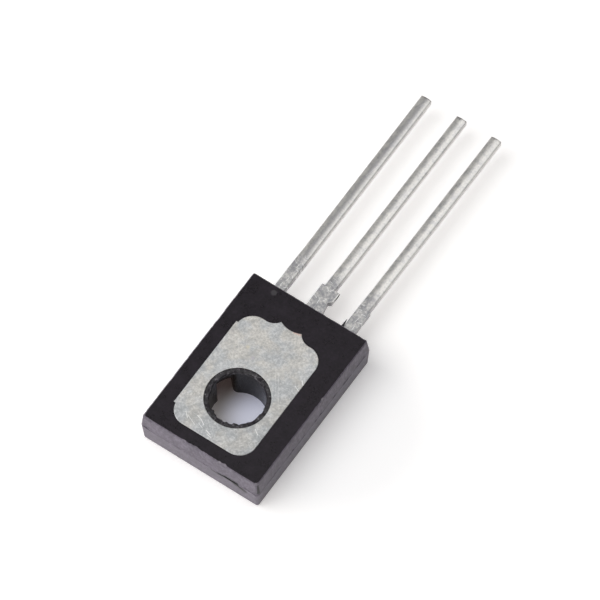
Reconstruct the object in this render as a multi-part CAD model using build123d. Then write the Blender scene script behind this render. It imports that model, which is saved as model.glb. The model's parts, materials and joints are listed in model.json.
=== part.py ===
"""Power transistor in a flat moulded package with a bare metal pad and a screw hole.

Millimetres. The origin is on the axis of the screw hole, in the plane of the plastic front face that the
part lies on. X runs across the body along the row of leads, Y runs along the leads towards their tips, and
Z points out of the metal pad.
"""
import os
from math import atan2, cos, degrees, hypot, radians, sin

from build123d import *

# Metal frame, stamped from one strip: the pad is the thick part, the leads are the thin part
lead_thickness = 0.45
lead_width = 0.68
lead_pitch = 2.29
lead_length = 14.77
lead_crown = 0.07
crown_run = 1.30
lead_edge_radius = 0.07
frame_joggle = 0.43
pad_thickness = 1.10
pad_left = 2.63
pad_right = 2.53
pad_foot = 2.95
pad_reach = 5.00
pad_corner_radius = 1.00

# Lead end of the pad: two horns beside the neck, a hollow beyond each and a round shoulder down to the side
neck_width = 1.34
horn_rise = 0.17
hollow_width = 0.85
hollow_depth = 0.24
hollow_bend_shares = (0.33, 0.70)
shoulder_drop = 1.25

# Strip along the left side of the pad, with its distances from the pad's foot and from the lead end
strip_width = 0.115
strip_insets = (0.85, 1.16)

# Stubs that are left where the bar between the leads was cut away
stub_length = 1.86
collector_left_stub = 0.16
collector_right_stub = 0.25
base_right_stub = 0.06

# Small lean of each lead towards the base lead's side, in degrees
emitter_splay = -0.1
collector_splay = 0.25
base_splay = 0.35

# Posts inside the moulding that the bond wires reach
post_width = 1.75
post_depth = 1.50
post_gap = 0.42

# Moulded body, given by the plastic that surrounds the metal
front_cover = 0.97
left_cover = 1.055
right_cover = 1.47
free_end_cover = 0.93
lead_end_cover = 1.98
pad_proud = 0.03
back_inset = 0.13
front_inset = 0.10
body_corner_radius = 0.25
body_edge_chamfer = 0.05

# Screw hole: the moulding lines the larger hole in the pad and ends a little below the metal
hole_radius = 1.60
hole_lining = 0.245
lining_recess = 0.08

# Slot beside the screw hole, open to the front, between two headings about the hole in degrees
slot_headings = (134.5, 171.0)
slot_reach = 2.66
slot_cover = 0.30
slot_corner_radius = 0.35

# Crack where the gate broke off the free end: a crescent on the parting line, with both ends below the line
gate_left = 1.20
gate_right = 3.07
gate_left_drop = 0.13
gate_right_drop = 0.33
gate_crest = 0.045
gate_gap = 0.09
gate_depth = 0.20

# Chip, its solder and its bond wires
die_width = 1.60
die_thickness = 0.25
solder_thickness = 0.04
solder_margin = 0.08
wire_radius = 0.10
wire_squash = 0.03
wire_foot = 0.38
wire_drop = 0.40
wire_bend_radius = 0.25
wire_start_share = 0.22
wire_slope_share = 0.24

# Overrun of every cut past the face that it opens
overrun = 0.50

# Heights
lead_bottom = front_cover
parting = lead_bottom + lead_thickness
pad_inner = lead_bottom + frame_joggle
pad_face = pad_inner + pad_thickness
body_top = pad_face - pad_proud

# Plan
body_left = -(pad_left + strip_width + left_cover)
body_right = pad_right + right_cover
body_width = body_right - body_left
body_centre = (body_left + body_right) / 2
free_end = -(pad_foot + free_end_cover)
lead_end = pad_reach + lead_end_cover
body_length = lead_end - free_end
body_middle = (lead_end + free_end) / 2
lead_tip = lead_end + lead_length
stub_end = lead_end + stub_length
post_end = lead_end - post_depth
pad_hole_radius = hole_radius + hole_lining
die_centre = (pad_hole_radius + pad_reach) / 2
die_bottom = pad_inner - solder_thickness - die_thickness


def plate(x_span, y_span, z_span):
    """Flat plate between two values on each axis."""
    size = [high - low for low, high in (x_span, y_span, z_span)]
    corner = [low for low, high in (x_span, y_span, z_span)]
    return Pos(*corner) * Box(*size, align=(Align.MIN, Align.MIN, Align.MIN))


def disc(radius, bottom, top):
    """Upright cylinder on the axis of the screw hole."""
    return Pos(0, 0, bottom) * Cylinder(radius, top - bottom, align=(Align.CENTER, Align.CENTER, Align.MIN))


def across(along):
    """Plane square to the leads at a distance along them, with its own Y axis upwards."""
    return Plane(origin=(0, along, 0), x_dir=(-1, 0, 0), z_dir=(0, 1, 0))


def flat_section():
    """Section of a lead's root from the middle of its underside: a flat strip with rounded edges."""
    return Pos(0, lead_thickness / 2) * RectangleRounded(lead_width, lead_thickness, lead_edge_radius)


def crowned_section():
    """Section of the rest of a lead: as the root's, with a crowned top."""
    side = lead_width / 2
    shoulder = lead_thickness - lead_crown
    with BuildSketch() as section:
        with BuildLine():
            Polyline((-side, shoulder), (-side, 0), (side, 0), (side, shoulder))
            ThreePointArc((side, shoulder), (0, lead_thickness), (-side, shoulder))
        make_face()
        fillet(section.vertices(), lead_edge_radius)
    return section.sketch


def lead_bar(centre, splay):
    """Thin lead, flat at its root and crowned further out, leaning by its splay from the end of its stub."""
    back = stub_end - post_end
    root = extrude(across(-back) * flat_section(), amount=back)
    rise = loft([across(0) * flat_section(), across(crown_run) * crowned_section()], ruled=True)
    rest = extrude(across(crown_run) * crowned_section(), amount=lead_tip - stub_end - crown_run)
    return Pos(centre, stub_end, lead_bottom) * Rot(0, 0, -splay) * (root + rise + rest)


def stub(centre, side, width):
    """Stub on one side of a lead's root. The side is -1 for the left and 1 for the right."""
    sides = sorted((centre, centre + side * (lead_width / 2 + width)))
    return plate(sides, (lead_end - post_gap, stub_end), (lead_bottom, parting))


def pad_half(side):
    """Half of the pad's face: straight side and foot, and a horn, a hollow and a round shoulder."""
    horn = (neck_width / 2, pad_reach + horn_rise)
    shoulder = (neck_width / 2 + hollow_width, pad_reach - hollow_depth)
    over, down = hollow_bend_shares
    bend = (horn[0] + over * (shoulder[0] - horn[0]), horn[1] + down * (shoulder[1] - horn[1]))
    side_top = (side, pad_reach - shoulder_drop)
    side_bottom = (side, pad_corner_radius - pad_foot)
    foot = (side - pad_corner_radius, -pad_foot)
    with BuildSketch() as face:
        with BuildLine():
            TangentArc((0, pad_reach), horn, tangent=(1, 0))
            ThreePointArc(horn, bend, shoulder)
            TangentArc(side_top, shoulder, tangent=(0, 1))
            Line(side_top, side_bottom)
            TangentArc(side_bottom, foot, tangent=(0, -1))
            Polyline(foot, (0, -pad_foot), (0, pad_reach))
        make_face()
    return face.sketch


def pad():
    """Thick pad with its hole and the strip along its left side."""
    outline = pad_half(pad_right) + mirror(pad_half(pad_left), about=Plane.YZ)
    low, high = strip_insets
    strip = plate(
        (-pad_left - strip_width, 0),
        (low - pad_foot, pad_reach - high),
        (pad_inner, pad_face),
    )
    whole = Pos(0, 0, pad_inner) * extrude(outline, amount=pad_thickness) + strip
    return whole - disc(pad_hole_radius, pad_inner - overrun, pad_face + overrun)


def neck():
    """Strip that leaves the pad under the plastic and steps down to the level of the leads."""
    bend_start = pad_reach + horn_rise + post_gap
    bend_end = lead_end - post_gap
    top = [
        (die_centre, pad_inner + lead_thickness),
        (bend_start, pad_inner + lead_thickness),
        (bend_end, parting),
        (lead_end, parting),
    ]
    bottom = [(along, height - lead_thickness) for along, height in reversed(top)]
    profile = make_face(Polyline(*top, *bottom, close=True))
    # The profile is drawn in Y and Z and made as wide as the neck
    upright = Plane(origin=(-neck_width / 2, 0, 0), x_dir=(0, 1, 0), z_dir=(1, 0, 0))
    return extrude(upright * profile, amount=neck_width)


def collector_frame():
    """Pad and middle lead in one piece."""
    lead = lead_bar(0, collector_splay)
    lead -= plate((-body_width, body_width), (free_end, lead_end), (0, body_top))
    stubs = stub(0, -1, collector_left_stub) + stub(0, 1, collector_right_stub)
    return pad() + neck() + stubs + lead


def signal_lead(side, splay):
    """Outer lead with the wide post inside the moulding. The side is -1 for the left and 1 for the right."""
    centre = side * lead_pitch
    post = plate(
        (centre - post_width / 2, centre + post_width / 2),
        (post_end, lead_end - post_gap),
        (lead_bottom, parting),
    )
    return lead_bar(centre, splay) + post


def chip():
    """Silicon chip under the pad and the thin layer of solder that holds it."""
    edges = (-die_width / 2, die_width / 2)
    along = (die_centre - die_width / 2, die_centre + die_width / 2)
    die = plate(edges, along, (die_bottom, die_bottom + die_thickness))
    solder = plate(
        (edges[0] - solder_margin, edges[1] + solder_margin),
        (along[0] - solder_margin, along[1] + solder_margin),
        (pad_inner - solder_thickness, pad_inner),
    )
    return die, solder


def bond_wire(side, seats):
    """Round wire that loops from the chip to a post, flattened where it is bonded to its seats."""
    start = Vector(side * wire_start_share * die_width, die_centre, 0)
    finish = Vector(side * lead_pitch, (post_end + lead_end - post_gap) / 2, 0)
    run = hypot(finish.X - start.X, finish.Y - start.Y)
    sunk = wire_radius - wire_squash
    slope = wire_slope_share * run
    stations = [
        (0, die_bottom - sunk),
        (wire_foot, die_bottom - sunk),
        (wire_foot + slope, lead_bottom - wire_drop),
        (run - wire_foot - slope, lead_bottom - wire_drop),
        (run - wire_foot, lead_bottom - sunk),
        (run, lead_bottom - sunk),
    ]
    heading = degrees(atan2(finish.Y - start.Y, finish.X - start.X))
    upright = Plane(origin=(0, 0, 0), x_dir=(1, 0, 0), z_dir=(0, -1, 0))
    path = upright * FilletPolyline(*stations, radius=wire_bend_radius)
    section = Plane(path @ 0, z_dir=path % 0) * Circle(wire_radius)
    wire = Pos(start) * Rot(0, 0, heading) * sweep(section, path=path)
    for seat in seats:
        wire -= seat
    return wire


def drafted_half(height, inset, direction):
    """One half of the moulding, drawn in from the parting line, with the edge of its face broken."""
    outline = Pos(body_centre, body_middle, parting) * RectangleRounded(
        body_width, body_length, body_corner_radius
    )
    draft = degrees(atan2(inset, height))
    half = extrude(outline, amount=height, dir=(0, 0, direction), taper=draft)
    face = half.faces().sort_by(Axis.Z)[-1 if direction > 0 else 0]
    return chamfer(face.edges(), body_edge_chamfer)


def gate_scar():
    """Crescent-shaped crack where the gate broke off the free end."""
    left = (body_centre + gate_left, parting - gate_left_drop)
    right = (body_centre + gate_right, parting - gate_right_drop)
    middle = (left[0] + right[0]) / 2
    crest = parting + gate_crest
    upper = ThreePointArc(left, (middle, crest), right)
    lower = ThreePointArc(left, (middle, crest - gate_gap), right)
    crescent = make_face([upper, lower])
    inside = Plane(origin=(0, free_end + gate_depth, 0), x_dir=(1, 0, 0), z_dir=(0, -1, 0))
    return extrude(inside * crescent, amount=gate_depth + overrun)


def hold_down_slot():
    """Hole and the sector beside it that the finger which pressed the pad into the mould left open."""
    wide = 2 * slot_reach
    ways = [(cos(radians(heading)), sin(radians(heading))) for heading in slot_headings]
    corners = [(wide * x, wide * y) for x, y in ways]
    round_corner = (hole_radius * ways[0][0], hole_radius * ways[0][1])
    with BuildSketch() as plan:
        with BuildLine():
            Polyline((0, 0), *corners, close=True)
        make_face()
        Circle(slot_reach, mode=Mode.INTERSECT)
        Circle(hole_radius)
        fillet(plan.vertices().sort_by_distance(round_corner)[0], slot_corner_radius)
    top = pad_face - slot_cover
    return Pos(0, 0, -overrun) * extrude(plan.sketch, amount=top + overrun)


def molded_body(pieces):
    """Epoxy moulding: two drafted halves round the pieces that it holds, with the lined screw hole."""
    body = drafted_half(body_top - parting, back_inset, 1) + drafted_half(parting, front_inset, -1)
    body -= disc(hole_radius, -overrun, pad_face + overrun)
    body -= disc(pad_hole_radius, pad_face - lining_recess, pad_face + overrun)
    body -= hold_down_slot()
    body -= gate_scar()
    for piece in pieces:
        body -= piece
    return body


emitter_lead = signal_lead(-1, emitter_splay)
base_lead = signal_lead(1, base_splay) + stub(lead_pitch, 1, base_right_stub)
silicon_die, die_solder = chip()
pieces = {
    "collector_frame": collector_frame(),
    "emitter_lead": emitter_lead,
    "base_lead": base_lead,
    "silicon_die": silicon_die,
    "die_solder": die_solder,
    "emitter_wire": bond_wire(-1, (silicon_die, emitter_lead)),
    "base_wire": bond_wire(1, (silicon_die, base_lead)),
}
pieces["molded_body"] = molded_body(list(pieces.values()))

os.makedirs("parts", exist_ok=True)
for name, piece in pieces.items():
    export_step(piece, f"parts/{name}.step")
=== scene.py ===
"""Studio picture of a power transistor in a flat moulded package.

The part lies on its plastic front face with the bare metal pad up. Its visible pieces are refined copies
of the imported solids, with worn edges, burrs and mould flash. Every finish is made of shader nodes that read
the part's own coordinates.
"""

import json
import logging
import math
from dataclasses import dataclass
from enum import Enum
from typing import Any, Callable, Iterable, Sequence, Union

import bmesh
import bpy
from bmesh.types import BMesh, BMEdge, BMFace, BMVert
from mathutils import Matrix, Vector, noise


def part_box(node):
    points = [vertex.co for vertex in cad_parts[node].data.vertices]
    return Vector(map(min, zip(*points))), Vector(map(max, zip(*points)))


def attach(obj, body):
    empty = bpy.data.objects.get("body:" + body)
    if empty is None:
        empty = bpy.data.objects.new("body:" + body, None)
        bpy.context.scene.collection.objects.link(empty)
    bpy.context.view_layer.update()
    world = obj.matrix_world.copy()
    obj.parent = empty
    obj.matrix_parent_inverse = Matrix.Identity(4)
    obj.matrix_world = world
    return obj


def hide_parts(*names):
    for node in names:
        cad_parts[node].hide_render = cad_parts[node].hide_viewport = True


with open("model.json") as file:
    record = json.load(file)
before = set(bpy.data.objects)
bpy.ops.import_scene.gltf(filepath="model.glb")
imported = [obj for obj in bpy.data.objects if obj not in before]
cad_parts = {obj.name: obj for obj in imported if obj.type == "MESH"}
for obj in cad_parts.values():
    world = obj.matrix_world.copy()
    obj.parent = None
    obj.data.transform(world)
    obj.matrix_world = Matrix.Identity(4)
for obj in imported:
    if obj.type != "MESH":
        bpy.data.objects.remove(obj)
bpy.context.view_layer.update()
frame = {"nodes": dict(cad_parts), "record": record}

log = logging.getLogger("transistor")

MM = 0.001
BODY = "root"
WORN = "worn"
MERGE_DISTANCE = 1e-5 * MM
FLAT_ANGLE = math.radians(0.5)
SHARP_ANGLE = math.radians(28.0)
# Part of a face's normal along an axis, from which the face counts as facing along it.
FACING = 0.9
OCTAVES = 4
OCTAVE_STEP = 2.0
ALONG = (Vector((1, 0, 0)), Vector((0, 1, 0)), Vector((0, 0, 1)))

Colour = tuple[float, float, float]
Value = Union["Socket", float, Sequence[float]]
# Clouds per millimetre, octaves, and the weight of the finer octaves.
Noise = tuple[float, float, float]
# Edge of a soft mask, its blur, and the share that it counts with.
Mask = tuple[float, float, float]


class Slot(Enum):
    """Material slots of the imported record."""

    EPOXY = "black_epoxy"
    TIN = "tinned_copper"


class Sum(Enum):
    """Operations of a Math node."""

    ADD = "ADD"
    SUBTRACT = "SUBTRACT"
    MULTIPLY = "MULTIPLY"
    POWER = "POWER"
    LEAST = "MINIMUM"
    MOST = "MAXIMUM"
    SIZE = "ABSOLUTE"
    SINE = "SINE"
    COSINE = "COSINE"


class Region(Enum):
    """Kinds of surface on the moulding, numbered in the order of its finishes."""

    FACE = 0
    WALL = 1
    BORE = 2
    CRACK = 3


class Plating(Enum):
    """Kinds of surface on the metal, numbered in the order of its finishes."""

    PAD = 0
    LEAD = 1
    HOLE = 2


@dataclass(frozen=True)
class Socket:
    """Output of a shader node, for use in Python expressions."""

    canvas: "Canvas"
    output: bpy.types.NodeSocket

    def out(self, name: str) -> "Socket":
        """Another output of the same node."""
        return Socket(self.canvas, self.output.node.outputs[name])

    def __add__(self, other: Value) -> "Socket":
        """This value plus another."""
        return self.canvas.maths(Sum.ADD, self, other)

    def __radd__(self, other: Value) -> "Socket":
        """Another value plus this one."""
        return self.canvas.maths(Sum.ADD, other, self)

    def __sub__(self, other: Value) -> "Socket":
        """This value less another."""
        return self.canvas.maths(Sum.SUBTRACT, self, other)

    def __rsub__(self, other: Value) -> "Socket":
        """Another value less this one."""
        return self.canvas.maths(Sum.SUBTRACT, other, self)

    def __mul__(self, other: Value) -> "Socket":
        """This value times another."""
        return self.canvas.maths(Sum.MULTIPLY, self, other)

    def __rmul__(self, other: Value) -> "Socket":
        """Another value times this one."""
        return self.canvas.maths(Sum.MULTIPLY, other, self)

    def __pow__(self, other: Value) -> "Socket":
        """This value to a power."""
        return self.canvas.maths(Sum.POWER, self, other)

    def __abs__(self) -> "Socket":
        """Size of this value."""
        return self.canvas.maths(Sum.SIZE, self)

    def most(self, other: Value) -> "Socket":
        """The larger of two values."""
        return self.canvas.maths(Sum.MOST, self, other)

    def least(self, other: Value) -> "Socket":
        """The smaller of two values."""
        return self.canvas.maths(Sum.LEAST, self, other)

    def swing(self, reach: float) -> "Socket":
        """This noise about its middle of a half, times a reach."""
        return (self - 0.5) * reach

    def above(self, edge: float, blur: float, share: float = 1.0) -> "Socket":
        """Soft mask that is its share where the value is larger than an edge, and else 0."""
        return self.canvas.ramp(self, edge - blur, edge + blur, 0.0, share)

    def below(self, edge: float, blur: float, share: float = 1.0) -> "Socket":
        """Soft mask that is its share where the value is smaller than an edge, and else 0."""
        return self.canvas.ramp(self, edge - blur, edge + blur, share, 0.0)


class Canvas:
    """Node tree of one material or of the world."""

    def __init__(self, tree: bpy.types.NodeTree) -> None:
        """Starts with an empty tree.

        Args:
            tree: Tree that the nodes are added to.
        """
        self.tree = tree
        tree.nodes.clear()

    def node(
        self,
        kind: str,
        settings: dict[str, Any] | None = None,
        sockets: dict[str | int, Value] | None = None,
    ) -> Socket | None:
        """Adds a node, sets it and then fills its sockets.

        Args:
            kind: Type of the node.
            settings: Properties of the node, set first.
            sockets: Values or links of its inputs, by name or by number.

        Returns:
            The node's first output in use, or None where it has none.
        """
        made = self.tree.nodes.new(kind)
        for name, setting in (settings or {}).items():
            setattr(made, name, setting)
        for key, value in (sockets or {}).items():
            taken = made.inputs[key] if isinstance(key, int) else self._input(made, key)
            if isinstance(value, Socket):
                self.tree.links.new(value.output, taken)
            elif taken.type == "RGBA" and len(value) == 3:
                taken.default_value = (*value, 1.0)
            else:
                taken.default_value = value
        output = next((each for each in made.outputs if each.enabled), None)
        return Socket(self, output) if output else None

    @staticmethod
    def _input(made: bpy.types.Node, name: str) -> bpy.types.NodeSocket:
        """Input of a node by its name, among those in use."""
        return next(each for each in made.inputs if each.enabled and each.name == name)

    def maths(self, operation: Sum, *values: Value) -> Socket:
        """Math node of one or two values."""
        return self.node("ShaderNodeMath", {"operation": operation.value}, dict(enumerate(values)))

    def ramp(self, value: Socket, low: float, high: float, start: float, end: float) -> Socket:
        """Smooth step of a value.

        Args:
            value: Value to read.
            low: Where the step starts.
            high: Where the step ends.
            start: Result below the step.
            end: Result above the step.

        Returns:
            The stepped value.
        """
        sockets = {"Value": value, "From Min": low, "From Max": high, "To Min": start, "To Max": end}
        return self.node("ShaderNodeMapRange", {"interpolation_type": "SMOOTHSTEP"}, sockets)

    def mix(self, share: Value, first: Value, second: Value) -> Socket:
        """Colour between two colours.

        Args:
            share: Share of the second colour.
            first: Colour underneath.
            second: Colour laid over it.

        Returns:
            The mixed colour.
        """
        return self.node("ShaderNodeMix", {"data_type": "RGBA"}, {"Factor": share, "A": first, "B": second})

    def layered(self, colour: Value, covers: Iterable[tuple[Value, Value]]) -> Value:
        """Colours laid over a first one, in order.

        Args:
            colour: Colour underneath.
            covers: The share and the colour of each layer.

        Returns:
            The colour on top.
        """
        for share, cover in covers:
            colour = self.mix(share, colour, cover)
        return colour

    def place(self) -> Socket:
        """Place on the part, in millimetres."""
        sockets = {"Vector": self.node("ShaderNodeTexCoord").out("Object"), "Scale": 1.0 / MM}
        return self.node("ShaderNodeVectorMath", {"operation": "SCALE"}, sockets)

    def parts(self, vector: Socket) -> tuple[Socket, Socket, Socket]:
        """The three parts of a vector."""
        split = self.node("ShaderNodeSeparateXYZ", sockets={"Vector": vector})
        return split.out("X"), split.out("Y"), split.out("Z")

    def stretched(self, place: Socket, shares: Sequence[float], turn: float = 0.0) -> Socket:
        """Place that is turned about Z and then scaled along each axis.

        Args:
            place: Place to read.
            shares: Scale along each axis.
            turn: Angle about Z.

        Returns:
            The stretched place.
        """
        settings = {"vector_type": "POINT"}
        turned = self.node("ShaderNodeMapping", settings, {"Vector": place, "Rotation": (0.0, 0.0, turn)})
        return self.node("ShaderNodeVectorMath", {"operation": "MULTIPLY"}, {0: turned, 1: shares})

    def mottle(self, place: Socket, scale: float, detail: float, roughness: float) -> Socket:
        """Cloudy noise from 0 to 1.

        Args:
            place: Place to read.
            scale: Clouds per millimetre.
            detail: Octaves of finer noise.
            roughness: Weight of the finer octaves.

        Returns:
            The noise value.
        """
        sockets = {"Vector": place, "Scale": scale, "Detail": detail, "Roughness": roughness}
        return self.node("ShaderNodeTexNoise", sockets=sockets)

    def scratches(self, place: Socket, style: "Scratches") -> Socket:
        """Mask of short straight scratches, one in some cells of a scattered pattern.

        Args:
            place: Place to read, scratched in its X and Y.
            style: Size, direction and number of the scratches.

        Returns:
            Mask that is 1 in a scratch.
        """
        sockets = {"Vector": place, "Scale": 1.0 / style.cell}
        cells = self.node("ShaderNodeTexVoronoi", {"voronoi_dimensions": "2D"}, sockets)
        sockets = {0: place, 1: cells.out("Position")}
        offset = self.node("ShaderNodeVectorMath", {"operation": "SUBTRACT"}, sockets)
        across, along, _ = self.parts(offset)
        chance = self.node("ShaderNodeSeparateColor", sockets={"Color": cells.out("Color")})
        angle = chance.out("Red").swing(style.spread) + style.heading
        distance = abs(across * self.maths(Sum.SINE, angle) - along * self.maths(Sum.COSINE, angle))
        drawn = chance.out("Green").below(style.share, style.fade)
        return distance.below(style.width / 2, style.width / 2) * drawn

    def stroke(self, place: Socket, mark: "Stroke") -> Socket:
        """Mask of one straight mark.

        Args:
            place: Place to read.
            mark: The two ends and the width of the mark.

        Returns:
            Mask that is 1 on the mark.
        """
        x, y, _ = self.parts(place)
        run = (mark.end[0] - mark.start[0], mark.end[1] - mark.start[1])
        length = math.hypot(*run)
        ahead = (run[0] / length, run[1] / length)
        right = x - mark.start[0]
        up = y - mark.start[1]
        along = right * ahead[0] + up * ahead[1]
        across = abs(right * ahead[1] - up * ahead[0])
        past = abs(along - length / 2) - length / 2
        half = mark.width / 2
        return across.below(half, half) * past.below(0.0, half)

    def strokes(self, place: Socket, marks: Sequence["Stroke"]) -> Socket:
        """Mask of several straight marks.

        Args:
            place: Place to read.
            marks: The marks.

        Returns:
            Mask that is 1 on any of the marks.
        """
        masks = [self.stroke(place, mark) for mark in marks]
        drawn = masks[0]
        for mask in masks[1:]:
            drawn = drawn.most(mask)
        return drawn

    def spot(self, place: Socket, mark: "Spot", ragged: Value = 0.0) -> Socket:
        """Mask of one round mark.

        Args:
            place: Place to read.
            mark: The middle, the radius and the blur of the mark.
            ragged: Distance by which its edge is moved out.

        Returns:
            Mask that is 1 on the mark.
        """
        x, y, _ = self.parts(place)
        right = x - mark.centre[0]
        up = y - mark.centre[1]
        distance = (right * right + up * up) ** 0.5
        return (distance - ragged).below(mark.radius, mark.blur)

    def bump(self, heights: Sequence[Socket], relief: "Relief") -> Socket:
        """Normal that is tilted by heights.

        Args:
            heights: Heights that are added up.
            relief: Share of each height, and the weight and the depth of the tilt.

        Returns:
            The tilted normal.
        """
        terms = [height * share for height, share in zip(heights, relief.shares)]
        height = sum(terms[1:], terms[0])
        sockets = {"Height": height, "Strength": relief.strength, "Distance": relief.depth * MM}
        return self.node("ShaderNodeBump", sockets=sockets)

    def surface(self, sockets: dict[str, Value]) -> Socket:
        """Principled surface with the given sockets."""
        return self.node("ShaderNodeBsdfPrincipled", sockets=sockets)


@dataclass(frozen=True)
class Scratches:
    """Pattern of scattered scratches, in millimetres and radians."""

    cell: float
    width: float
    share: float = 0.5
    heading: float = 0.0
    spread: float = math.tau
    fade: float = 0.02


@dataclass(frozen=True)
class Stroke:
    """One straight mark between two places in X and Y, in millimetres."""

    start: tuple[float, float]
    end: tuple[float, float]
    width: float


@dataclass(frozen=True)
class Spot:
    """One round mark at a place in X and Y, in millimetres."""

    centre: tuple[float, float]
    radius: float
    blur: float


@dataclass(frozen=True)
class Relief:
    """Heights that tilt a surface: the share of each, the tilt's weight, and its depth in millimetres."""

    shares: tuple[float, ...]
    strength: float
    depth: float


@dataclass(frozen=True)
class PartPlan:
    """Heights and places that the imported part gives, in metres."""

    body_low: Vector
    body_high: Vector
    pad_face: float
    parting: float
    hole_radius: float
    lead_end: float
    lead_tip: float

    @classmethod
    def read(cls) -> "PartPlan":
        """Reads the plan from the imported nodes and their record.

        Returns:
            The plan.
        """
        body_low, body_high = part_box("molded_body")
        frame_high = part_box("collector_frame")[1]
        mounts = {mount["name"]: mount for mount in frame["record"]["mounts"]}
        return cls(
            body_low=body_low,
            body_high=body_high,
            pad_face=frame_high.z,
            parting=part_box("emitter_lead")[1].z,
            hole_radius=mounts["mounting_hole"]["dims"]["r_mm"] * MM,
            lead_end=body_high.y,
            lead_tip=frame_high.y,
        )


class Finish:
    """A surface made of shader nodes."""

    name: str

    def paint(self, canvas: Canvas) -> Socket:
        """Adds the nodes of the surface.

        Args:
            canvas: Tree that the nodes are added to.

        Returns:
            The shader's output.
        """
        raise NotImplementedError

    def material(self) -> bpy.types.Material:
        """Makes the material, once for each finish.

        Returns:
            The material.
        """
        made = bpy.data.materials.get(self.name)
        if made is None:
            made = bpy.data.materials.new(self.name)
            made.use_nodes = True
            canvas = Canvas(made.node_tree)
            canvas.node("ShaderNodeOutputMaterial", sockets={"Surface": self.paint(canvas)})
        return made


@dataclass(frozen=True)
class MouldedEpoxy(Finish):
    """Black filled epoxy: cloudy gloss, grain and scuffs, and where asked a pin mark, painted shade strokes
    and wear.
    """

    name: str
    colour: Colour
    haze: Colour
    rough: float
    uneven: float = 0.14
    cloud: Noise = (1.3, 4.0, 0.55)
    grain: Noise = (6.0, 4.0, 0.75)
    scuffs: Scratches = Scratches(cell=0.7, width=0.014, share=0.22)
    cloud_haze: Mask = (0.55, 0.20, 0.4)
    grain_haze: Mask = (0.54, 0.14, 0.6)
    scuff_share: float = 0.35
    relief: Relief = Relief((0.7, 0.2, -0.4), 0.15, 0.012)
    ior: float = 1.5
    pin_mark: Spot | None = None
    pin_colour: Colour = (0.060, 0.056, 0.062)
    pin_ragged: float = 0.12
    pin_height: Mask = (2.0, 0.1, 0.8)
    # Dark strokes on the free end: painted shade along the crack, and a painted dark reflection on the
    # corner.
    painted_shade_strokes: tuple[Stroke, ...] = ()
    painted_stroke_shade: Colour = (0.012, 0.010, 0.013)
    painted_stroke_ragged: float = 0.16
    painted_stroke_gain: float = 2.2
    free_end: Mask = (-3.62, 0.05, 1.0)
    wears: bool = False
    fracture: Colour = (0.34, 0.32, 0.34)
    fracture_rough: float = 0.3

    def paint(self, canvas: Canvas) -> Socket:
        """Adds the nodes of the epoxy.

        Args:
            canvas: Tree that the nodes are added to.

        Returns:
            The shader's output.
        """
        place = canvas.place()
        cloud = canvas.mottle(place, *self.cloud)
        grain = canvas.mottle(place, *self.grain)
        scuffs = canvas.scratches(place, self.scuffs)
        hazy = cloud.above(*self.cloud_haze) + grain.above(*self.grain_haze)
        layers = [(hazy, self.haze), (scuffs * self.scuff_share, self.haze)]
        rough = cloud.swing(self.uneven) + grain.swing(self.uneven) + self.rough
        if self.pin_mark:
            layers.append((self._pinned(canvas, place, grain), self.pin_colour))
        if self.painted_shade_strokes:
            layers.append((self._painted_strokes(canvas, place, grain), self.painted_stroke_shade))
        if self.wears:
            worn = canvas.node("ShaderNodeAttribute", {"attribute_name": WORN}).out("Fac")
            layers.append((worn, self.fracture))
            rough = rough + worn * self.fracture_rough
        return canvas.surface(
            {
                "Base Color": canvas.layered(self.colour, layers),
                "Roughness": rough,
                "IOR": self.ior,
                "Normal": canvas.bump((grain, cloud, scuffs), self.relief),
            }
        )

    def _pinned(self, canvas: Canvas, place: Socket, grain: Socket) -> Socket:
        """Mask of the ejector pin's mark on the upper face.

        Args:
            canvas: Tree that the nodes are added to.
            place: Place to read.
            grain: Noise that makes the mark ragged.

        Returns:
            Mask that is largest on the mark.
        """
        _, _, z = canvas.parts(place)
        return canvas.spot(place, self.pin_mark, grain.swing(self.pin_ragged)) * z.above(*self.pin_height)

    def _painted_strokes(self, canvas: Canvas, place: Socket, grain: Socket) -> Socket:
        """Mask of painted shade along the gate's crack and of a painted dark reflection down the right-hand
        corner, drawn in X and Z on the free end.

        Args:
            canvas: Tree that the nodes are added to.
            place: Place to read.
            grain: Noise that makes the painted strokes ragged.

        Returns:
            Mask that is 1 on a painted stroke.
        """
        x, y, z = canvas.parts(place)
        sockets = {"X": x, "Y": z + grain.swing(self.painted_stroke_ragged)}
        upright = canvas.node("ShaderNodeCombineXYZ", sockets=sockets)
        drawn = (canvas.strokes(upright, self.painted_shade_strokes) * self.painted_stroke_gain).least(1.0)
        return drawn * y.below(*self.free_end)


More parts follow.
